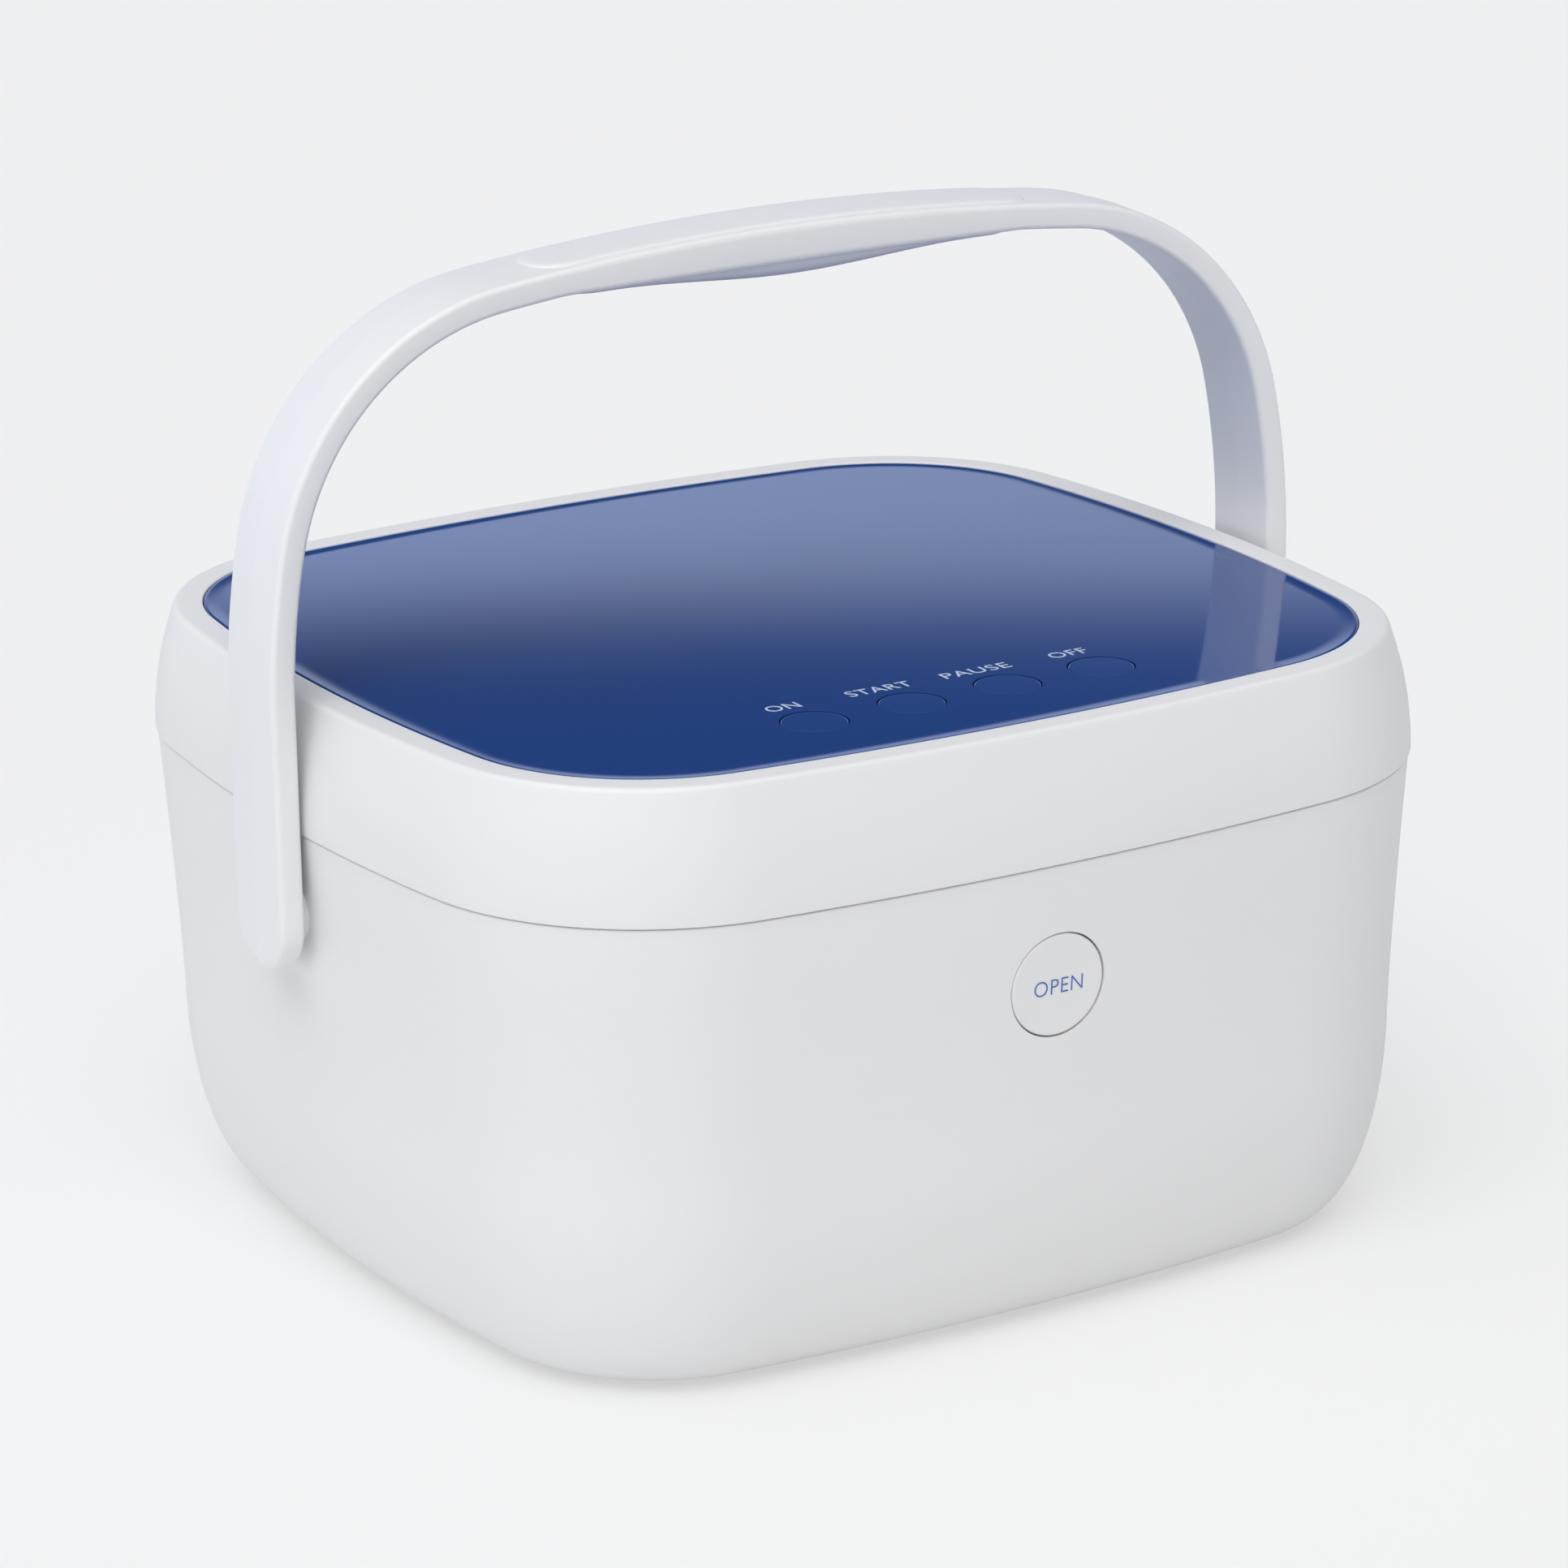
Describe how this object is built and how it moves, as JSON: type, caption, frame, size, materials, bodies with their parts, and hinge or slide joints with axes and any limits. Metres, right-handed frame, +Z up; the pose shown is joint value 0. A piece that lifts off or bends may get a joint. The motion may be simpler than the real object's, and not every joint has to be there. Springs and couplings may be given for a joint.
{
  "type": "mask sanitizer box",
  "caption": "Bench-top sanitizer box with rounded white housing, hinged lid with blue panel and push buttons, front release button, lamp-lit inner tub and swinging carry handle.",
  "frame": {"origin": "centre of the footprint, on the surface that the feet stand on", "axes": "+X to the right along the carry handle's span, +Y to the back where the hinge is, +Z up"},
  "size_m": [0.3168, 0.2788, 0.2734],
  "materials": {
    "shell_plastic": "warm white satin",
    "handle_plastic": "cool white, soft gloss",
    "panel_plastic": "deep blue, glossy",
    "button_plastic": "mid blue, satin gloss",
    "open_plastic": "white satin",
    "liner_metal": "bright reflective",
    "board": "green solder mask",
    "lamp": "pale package",
    "quartz": "clear",
    "steel": "plain",
    "stainless": "polished wire",
    "silicone": "soft grey",
    "foot_rubber": "black",
    "black_plastic": "black",
    "bush_plastic": "cool white",
    "brass": "plain"
  },
  "bodies": {
    "housing": {"housing_shell": "shell_plastic", "base_cover": "shell_plastic", "rubber_feet": "foot_rubber", "base_screws": "steel", "inner_tub": "liner_metal", "tub_screws": "steel", "rim_gasket": "silicone", "wire_rack": "stainless", "floor_led_board": "board", "floor_leds": "lamp", "floor_windows": "quartz", "floor_board_screws": "steel", "control_board": "board", "control_board_screws": "steel", "processor": "black_plastic", "capacitors": "black_plastic", "power_coil": "black_plastic", "buzzer": "black_plastic", "board_connectors": "open_plastic", "dc_inlet": "black_plastic", "dc_inlet_pin": "brass", "lid_sensor": "black_plastic", "button_guide": "black_plastic", "guide_screws": "steel", "open_button_spring": "steel", "hinge_bracket": "steel", "hinge_pin": "steel", "hinge_screws": "steel", "handle_bushes": "bush_plastic"},
    "lid": {"lid_shell": "shell_plastic", "top_panel": "panel_plastic", "lid_liner": "liner_metal", "lid_screws": "steel", "lid_led_board": "board", "lid_leds": "lamp", "lid_windows": "quartz", "lid_board_screws": "steel", "button_board": "board", "button_board_screws": "steel", "tact_switches": "black_plastic", "lid_magnet": "steel", "striker": "steel", "striker_screws": "steel", "lid_hinge_leaf": "steel", "leaf_screws": "steel"},
    "handle": {"handle_bow": "handle_plastic", "handle_arms": "handle_plastic", "handle_sides": "handle_plastic", "grip_cap": "handle_plastic", "grip_underside": "handle_plastic", "handle_studs": "steel", "handle_washers": "steel"},
    "on_button": {"on_button": "button_plastic"},
    "start_button": {"start_button": "button_plastic"},
    "pause_button": {"pause_button": "button_plastic"},
    "off_button": {"off_button": "button_plastic"},
    "open_button": {"open_button": "open_plastic", "latch_hook": "steel", "hook_screw": "steel"}
  },
  "joints": [
    {"name": "lid_hinge", "type": "hinge", "parent": "housing", "child": "lid", "pos_m": [0, 0.1356, 0.1346], "axis": [-1, 0, 0], "range_deg": [0, 15]},
    {"name": "handle_swing", "type": "hinge", "parent": "housing", "child": "handle", "pos_m": [0, -0.003, 0.1085], "axis": [-1, 0, 0], "range_deg": [-90, 90]},
    {"name": "on_button_slide", "type": "slide", "parent": "lid", "child": "on_button", "axis": [0, 0, -1], "range_m": [0, 0.0008], "stiffness_N_per_m": 800, "springref_m": -0.0006},
    {"name": "start_button_slide", "type": "slide", "parent": "lid", "child": "start_button", "axis": [0, 0, -1], "range_m": [0, 0.0008], "stiffness_N_per_m": 800, "springref_m": -0.0006},
    {"name": "pause_button_slide", "type": "slide", "parent": "lid", "child": "pause_button", "axis": [0, 0, -1], "range_m": [0, 0.0008], "stiffness_N_per_m": 800, "springref_m": -0.0006},
    {"name": "off_button_slide", "type": "slide", "parent": "lid", "child": "off_button", "axis": [0, 0, -1], "range_m": [0, 0.0008], "stiffness_N_per_m": 800, "springref_m": -0.0006},
    {"name": "open_button_slide", "type": "slide", "parent": "housing", "child": "open_button", "axis": [0, 1, 0], "range_m": [0, 0.002], "stiffness_N_per_m": 2500, "springref_m": -0.001, "deforming": ["open_button_spring"]}
  ]
}
